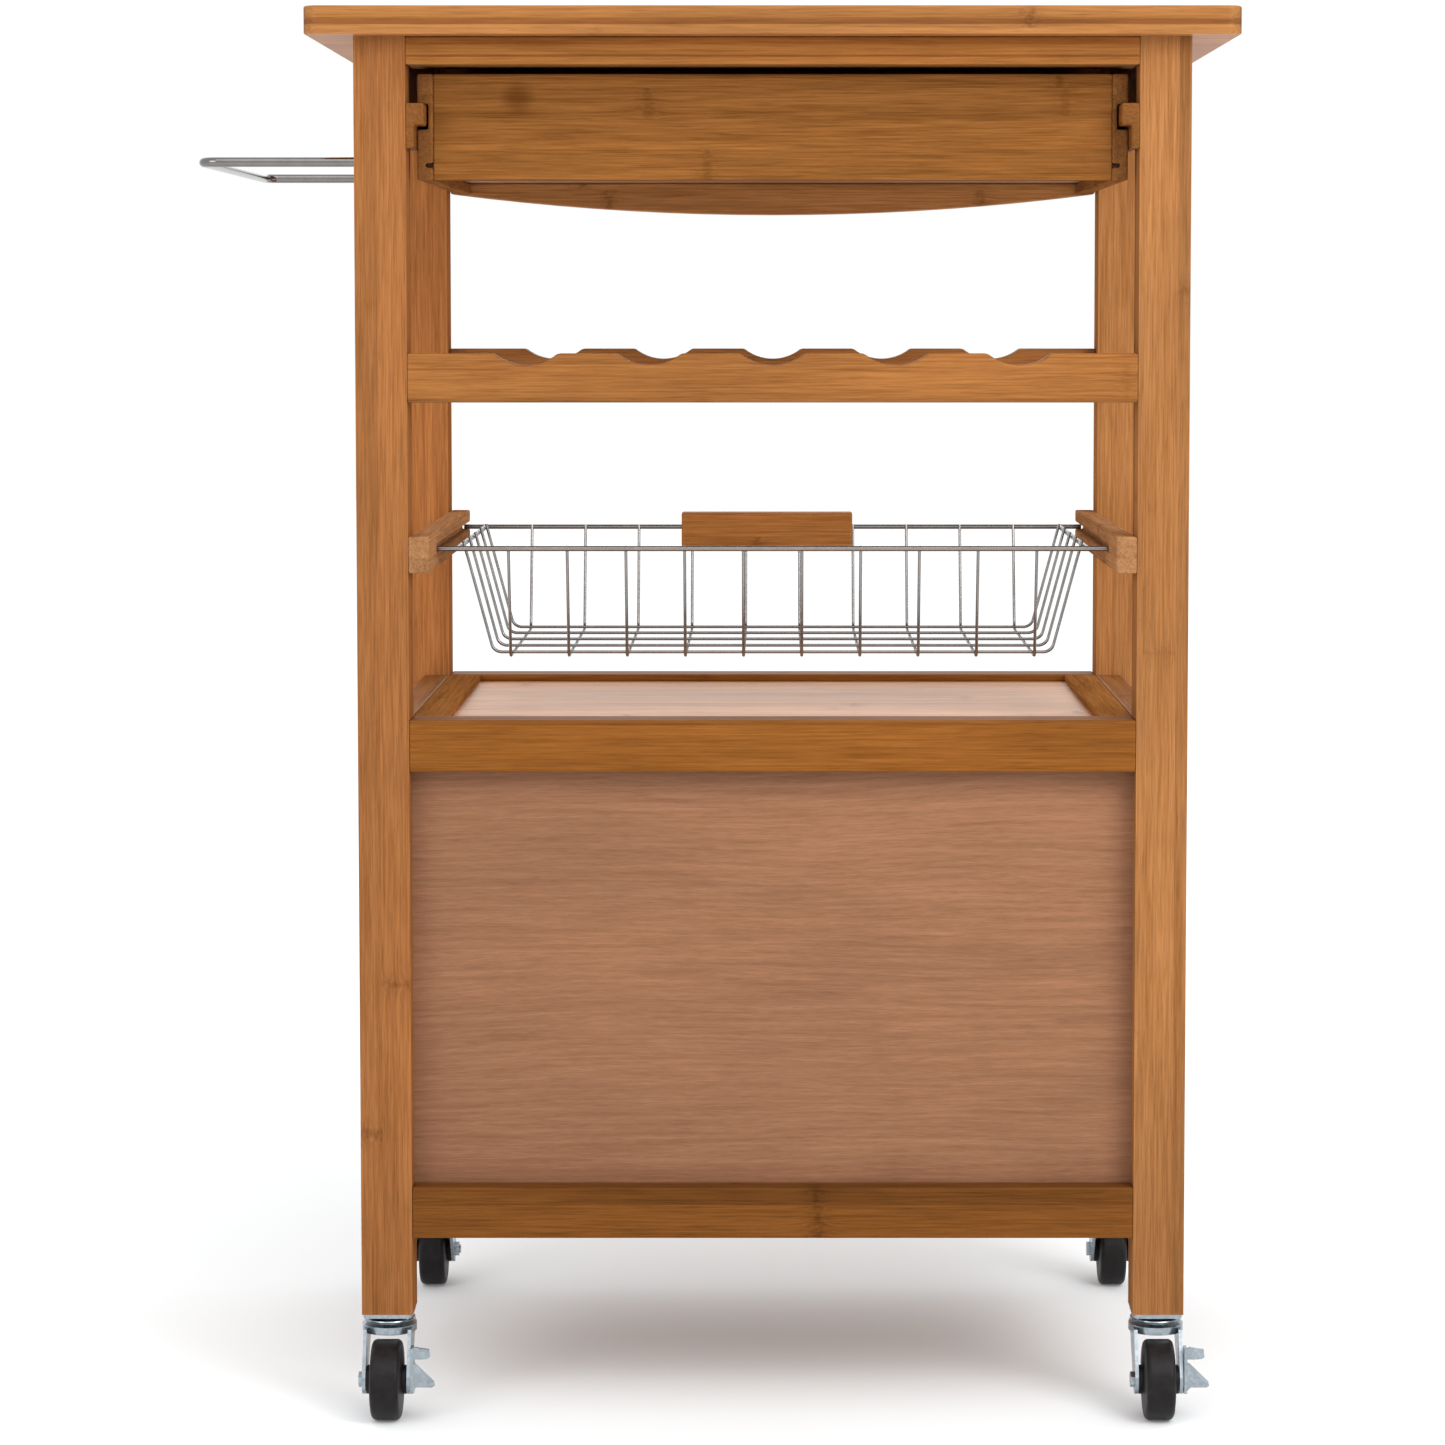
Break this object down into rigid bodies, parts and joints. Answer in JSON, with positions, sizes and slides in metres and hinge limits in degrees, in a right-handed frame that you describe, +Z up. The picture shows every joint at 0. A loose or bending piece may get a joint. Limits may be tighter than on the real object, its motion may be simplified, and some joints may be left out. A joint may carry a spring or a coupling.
{
  "type": "rolling kitchen cart",
  "caption": "Bamboo kitchen cart on braked swivel casters, with a wide top, drawer, bottle rack, sliding wire basket, tray, two-door cabinet and towel rail.",
  "frame": {"origin": "on the floor, under the middle of the cart's bounding box with its towel rail", "axes": "+Z up; the doors and the drawer face -Y; +X is towards the towel rail, on the right as seen from the doors"},
  "size_m": [0.646, 0.398, 0.8834],
  "materials": {
    "bamboo": "clear lacquered strip bamboo",
    "bamboo_dark": "clear lacquered strip bamboo, darker",
    "plywood": "thin plywood with a reddish face",
    "towel_rail": "bright plated steel rod",
    "wire": "bright plated steel wire",
    "knob": "satin plated metal",
    "zinc": "zinc plated pressed steel",
    "wheel": "hard black plastic"
  },
  "bodies": {
    "frame": {"tabletop": "bamboo", "leg_rear_left": "bamboo", "leg_rear_right": "bamboo", "leg_front_left": "bamboo", "leg_front_right": "bamboo", "top_rail_rear": "bamboo_dark", "top_rail_front": "bamboo_dark", "side_aprons": "bamboo", "drawer_runners": "bamboo_dark", "bottle_rail_rear": "bamboo", "bottle_rail_front": "bamboo", "basket_runners": "bamboo", "tray_rail_rear": "bamboo", "tray_rail_front": "bamboo", "tray_side_rails": "bamboo", "tray_panel": "bamboo", "side_rails_upper": "bamboo", "side_rails_lower": "bamboo", "side_panels": "bamboo", "back_panel": "plywood", "bottom_rail_rear": "bamboo_dark", "bottom_rail_front": "bamboo_dark", "cabinet_floor": "plywood", "towel_rail": "towel_rail", "door_catches": "zinc", "hinge_frame_leaves": "zinc", "hinge_pins": "zinc", "caster_plates": "zinc", "caster_screws": "zinc"},
    "drawer": {"drawer_front": "bamboo", "drawer_back": "bamboo_dark", "drawer_sides": "bamboo_dark", "drawer_bottom": "plywood", "drawer_knob": "knob"},
    "basket": {"basket_rim": "wire", "basket_cross_wires": "wire", "basket_long_wires": "wire", "basket_handle": "bamboo"},
    "door_left": {"door_left_frame": "bamboo", "door_left_panel": "bamboo", "door_left_knob": "knob", "door_left_hinge_leaves": "zinc"},
    "door_right": {"door_right_frame": "bamboo", "door_right_panel": "bamboo", "door_right_knob": "knob", "door_right_hinge_leaves": "zinc"},
    "caster_rear_left": {"caster_fork_rear_left": "zinc", "caster_axle_rear_left": "zinc"},
    "wheel_rear_left": {"caster_wheel_rear_left": "wheel"},
    "caster_rear_right": {"caster_fork_rear_right": "zinc", "caster_axle_rear_right": "zinc"},
    "wheel_rear_right": {"caster_wheel_rear_right": "wheel"},
    "caster_front_left": {"caster_fork_front_left": "zinc", "caster_axle_front_left": "zinc"},
    "wheel_front_left": {"caster_wheel_front_left": "wheel"},
    "caster_front_right": {"caster_fork_front_right": "zinc", "caster_axle_front_right": "zinc"},
    "wheel_front_right": {"caster_wheel_front_right": "wheel"},
    "brake_left": {"brake_lever_left": "zinc"},
    "brake_right": {"brake_lever_right": "zinc"}
  },
  "joints": [
    {"name": "drawer_slide", "type": "slide", "parent": "frame", "child": "drawer", "axis": [0, -1, 0], "range_m": [0, 0.24]},
    {"name": "basket_slide", "type": "slide", "parent": "frame", "child": "basket", "axis": [0, -1, 0], "range_m": [0, 0.22]},
    {"name": "door_left_hinge", "type": "hinge", "parent": "frame", "child": "door_left", "pos_m": [-0.261, -0.1728, 0.278], "axis": [0, 0, -1], "range_deg": [0, 110]},
    {"name": "door_right_hinge", "type": "hinge", "parent": "frame", "child": "door_right", "pos_m": [0.191, -0.1728, 0.278], "axis": [0, 0, 1], "range_deg": [0, 110]},
    {"name": "caster_rear_left_swivel", "type": "hinge", "parent": "frame", "child": "caster_rear_left", "pos_m": [-0.278, 0.154, 0.055], "axis": [0, 0, 1], "continuous": true},
    {"name": "wheel_rear_left_spin", "type": "hinge", "parent": "caster_rear_left", "child": "wheel_rear_left", "pos_m": [-0.278, 0.174, 0.025], "axis": [1, 0, 0], "continuous": true},
    {"name": "caster_rear_right_swivel", "type": "hinge", "parent": "frame", "child": "caster_rear_right", "pos_m": [0.208, 0.154, 0.055], "axis": [0, 0, 1], "continuous": true},
    {"name": "wheel_rear_right_spin", "type": "hinge", "parent": "caster_rear_right", "child": "wheel_rear_right", "pos_m": [0.208, 0.174, 0.025], "axis": [1, 0, 0], "continuous": true},
    {"name": "caster_front_left_swivel", "type": "hinge", "parent": "frame", "child": "caster_front_left", "pos_m": [-0.278, -0.154, 0.055], "axis": [0, 0, 1], "continuous": true},
    {"name": "wheel_front_left_spin", "type": "hinge", "parent": "caster_front_left", "child": "wheel_front_left", "pos_m": [-0.278, -0.174, 0.025], "axis": [1, 0, 0], "continuous": true},
    {"name": "caster_front_right_swivel", "type": "hinge", "parent": "frame", "child": "caster_front_right", "pos_m": [0.208, -0.154, 0.055], "axis": [0, 0, 1], "continuous": true},
    {"name": "wheel_front_right_spin", "type": "hinge", "parent": "caster_front_right", "child": "wheel_front_right", "pos_m": [0.208, -0.174, 0.025], "axis": [1, 0, 0], "continuous": true},
    {"name": "brake_left_pivot", "type": "hinge", "parent": "caster_rear_left", "child": "brake_left", "pos_m": [-0.278, 0.174, 0.025], "axis": [-1, 0, 0], "range_deg": [0, 15]},
    {"name": "brake_right_pivot", "type": "hinge", "parent": "caster_rear_right", "child": "brake_right", "pos_m": [0.208, 0.174, 0.025], "axis": [-1, 0, 0], "range_deg": [0, 15]}
  ]
}
